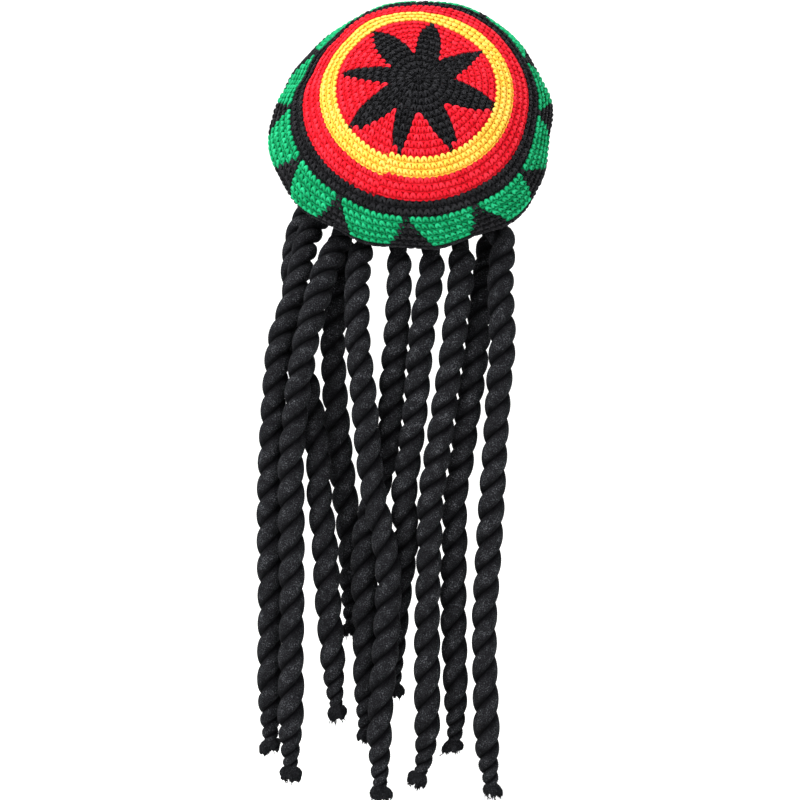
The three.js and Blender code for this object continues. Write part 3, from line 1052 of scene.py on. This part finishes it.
# The lock's rippled, frayed end, with threads that hang from its hem
def frill(frames):
    centre, distance, length, facing, across, through, _ = frames
    turn = np.arange(FRILL_SIDES) * TAU / FRILL_SIDES
    waves = rng.integers(*FRILL_WAVES)
    start, side = rng.uniform(0, TAU, 2)
    flare = rng.uniform(*FRILL_FLARE)
    curl = rng.uniform(*FRILL_CURL)
    frayed = rng.normal(0, FRAYING, FRILL_SIDES)
    wave = np.sin(waves * turn + start) + RIPPLE * np.sin((2 * waves + 1) * turn + 2 * start)
    lagging = RIPPLE * np.cos(waves * turn + start + RIPPLE_LAG)
    neck = FRILL[0][1]
    loops = []
    for back, radius, ripple in FRILL:
        k = np.searchsorted(distance, length - back) - 1
        middle = centre[k] + facing[k] * (length - back - distance[k])
        out = neck + (radius - neck) * flare + ripple * RIPPLE * (wave + frayed)
        drop = ripple * (lagging + frayed)
        drop -= curl * ripple / DEEPEST_RIPPLE * (1 + np.cos(turn - side))
        ring = across[k] * (out * np.cos(turn))[:, None] + through[k] * (out * np.sin(turn))[:, None]
        loops.append(middle + ring + facing[k] * drop[:, None])
    ends = np.stack([loops[0].mean(0), loops[-1].mean(0)])
    points = np.concatenate(loops + [ends])
    parts = [(points, tube_faces(len(FRILL), FRILL_SIDES), points[:, :2] * FRILL_STRAND)]
    hem = loops[HEM]
    for i in rng.integers(0, FRILL_SIDES, THREADS):
        away = unit(hem[i] - hem.mean(0))
        reach = rng.uniform(*THREAD_REACH)
        bend = facing[-1] * reach + away * rng.normal(0, THREAD_SPREAD)
        belly = hem[i] + away * THREAD_AWAY + bend * THREAD_BEND
        line = bezier(hem[i] - away, belly, hem[i] + bend, THREAD_POINTS)
        parts.append(tube(line, np.full(len(line), THREAD_RADIUS), THREAD_SIDES))
    return joined(parts)


# Two strands twisted round each other, from the flat tab in the band to the gathered end
def lock_mesh(name, lock, number):
    frames = lock_frames(lock)
    centre, distance, length, facing, across, through, filled = frames
    taper = np.interp(length - distance, *zip(*LOCK_TAPER))[:, None]
    size = LOCK_DIAMETER / 2 * taper
    wide = mix(LOCK_TAB_WIDTH / 2, size, filled)
    thick = mix(FABRIC / 2, size, filled)
    winding = np.clip(1 - (length - distance) / TIP_WINDING, 0, 1) ** 2 * TIP_TURNS * TAU
    twist = (twist_at(distance, length) + winding)[:, None]
    turn = (np.arange(LOCK_SIDES) * TAU / LOCK_SIDES)[None, :]
    quarter = math.pi / 2
    from_strand = np.abs(np.mod(turn + quarter, math.pi) - quarter) / quarter
    section = 1 - SOFT_CREASE * from_strand ** SOFT_POWER - DEEP_CREASE * from_strand ** DEEP_POWER
    swell = 1 + SWELL * np.sin(distance[:, None] / SWELL_LENGTH + number * SWELL_STEP)
    over = section * swell * np.cos(turn + twist) * wide
    under = section * swell * np.sin(turn + twist) * thick
    body = (
        centre[:, None, :]
        + across[:, None, :] * over[..., None]
        + through[:, None, :] * under[..., None]
    )
    last = np.searchsorted(distance, length - FRILL[0][0] * FRILL_OVERLAP)
    body = body[:last]
    body[0] += axis_at(BAND_TILT) * LOCK_TAB_SEWN
    ends = np.stack([body[0].mean(0), body[-1].mean(0)])
    points = np.concatenate([body.reshape(-1, 3), ends])
    u = np.repeat(distance[:last], LOCK_SIDES)
    v = np.tile(np.arange(LOCK_SIDES) / LOCK_SIDES, last)
    uvs = np.concatenate([np.stack([u, v], -1), [[0, 0], [length, 0]]])
    # Painted shade, from 0 on the strands' crests to 1 in the crease between them; the end caps get
    # full shade, the frill a little
    shade = np.broadcast_to(from_strand ** SHADE_POWER, (last, LOCK_SIDES)).ravel()
    shade = np.concatenate([shade, [1, 1]])
    end = frill(frames)
    points, faces, uvs = joined([(points, tube_faces(last, LOCK_SIDES), uvs), end])
    shade = np.concatenate([shade, np.full(len(end[0]), FRILL_SHADE)])
    piece = add_mesh(f"{name}_twist", points, faces, {"crease": shade}, uvs)
    return piece, along_line(centre, PATH_POINTS)[0], length


def add_lock(lock, number):
    name = f"lock_{number:02d}"
    piece, path, length = lock_mesh(name, lock, number)
    dress(piece, "lock_yarn", name)


for number, lock in enumerate(LOCKS, 1):
    add_lock(lock, number)


# The crown

def add_crown():
    made = crochet()
    for name, (inner_edge, outer_edge) in WALLS.items():
        blocks = made[name] + [wall_block(inner_edge, outer_edge)]
        piece = combine(f"{name}_crochet", blocks)
        dress(piece, YARN_OF[name], name)


add_crown()


# The head band: ribs that stand out on both of its sides

def add_band():
    columns = np.arange(BAND_RIBS * BAND_STEPS) * COLUMNS / (BAND_RIBS * BAND_STEPS)
    angles = angle_of(columns, np.full(len(columns), float(ROUNDS["under"])))
    rib = np.abs(np.sin(np.pi * np.arange(len(columns)) / BAND_STEPS))
    outer = []
    inner = []
    for i in range(BAND_ROWS + 1):
        height = BAND_TOP * i / BAND_ROWS
        row = KNIT_DEPTH * math.cos(TAU * i / KNIT_ROWS)
        outer.append(band_points(height, angles, (1 - rib) * RIB_DEPTH + row * rib))
        inner.append(band_points(height, angles, FABRIC - (1 - rib) * RIB_DEPTH - row * rib))
    loops = outer + inner[::-1]
    points = np.concatenate(loops)
    total = len(loops)
    width = len(columns)
    around, along = BAND_STRAND
    uvs = np.stack([np.tile(columns * around, total), np.repeat(np.arange(total) * along, width)], -1)
    tones_and_shades = np.full(len(points), BAND_TONE)
    piece = add_mesh("head_band_ribs", points, sheet_faces(total, width), {"tone_and_shade": tones_and_shades}, uvs)
    dress(piece, "black_yarn", "head_band")


add_band()


# The floor, the backdrop and the lights

def stage_material():
    material, _, _, shader = new_material("pale_paper")
    set_sockets(shader, {
        "Base Color": (0.9, 0.9, 0.9, 1),
        "Roughness": 1,
        "Specular IOR Level": 0,
        "Emission Color": (1, 1, 1, 1),
        "Emission Strength": PAPER_GLOW,
    })
    return material


# Pale paper: a round floor that sweeps up into a wall all round
def add_paper():
    z = cad_box[0][2] - FLOOR_DROP
    profile = []
    for i in range(SWEEP_STEPS + 1):
        turn = math.pi / 2 * i / SWEEP_STEPS
        rise = z + SWEEP_RADIUS * (1 - math.cos(turn))
        profile.append((FLOOR_RADIUS + SWEEP_RADIUS * math.sin(turn), rise))
    profile.append((FLOOR_RADIUS + SWEEP_RADIUS, PAPER_TOP))
    points = []
    for radius, height in profile:
        for j in range(PAPER_SIDES):
            turn = TAU * j / PAPER_SIDES
            points.append((radius * math.cos(turn), radius * math.sin(turn), height))
    faces = [tuple(range(PAPER_SIDES))]
    for i in range(len(profile) - 1):
        for j in range(PAPER_SIDES):
            a = i * PAPER_SIDES + j
            b = i * PAPER_SIDES + (j + 1) % PAPER_SIDES
            faces.append((a + PAPER_SIDES, b + PAPER_SIDES, b, a))
    mesh = bpy.data.meshes.new("paper")
    mesh.from_pydata(points, [], faces)
    mesh.polygons.foreach_set("use_smooth", np.ones(len(faces), bool))
    paper = add_object("paper", mesh)
    paper.data.materials.append(stage_material())


def add_light(name, place, aim, size, power):
    data = bpy.data.lights.new(name, "AREA")
    data.shape = "DISK"
    data.size = size
    data.energy = power
    light = add_object(name, data)
    light.location = place
    direction = np.array(aim) - np.array(place)
    light.rotation_euler = (
        math.atan2(math.hypot(direction[0], direction[1]), -direction[2]),
        0,
        math.atan2(direction[1], direction[0]) - math.pi / 2,
    )


def add_world():
    world = bpy.data.worlds.new("studio")
    bpy.context.scene.world = world
    world.use_nodes = True
    background = world.node_tree.nodes["Background"]
    set_sockets(background, {"Color": (1, 1, 1, 1), "Strength": WORLD_STRENGTH})


add_paper()
add_world()
for light_name, place, size, power in LIGHTS:
    add_light(light_name, place, TAM_MIDDLE, size, power)
bpy.context.scene.view_settings.view_transform = "Standard"
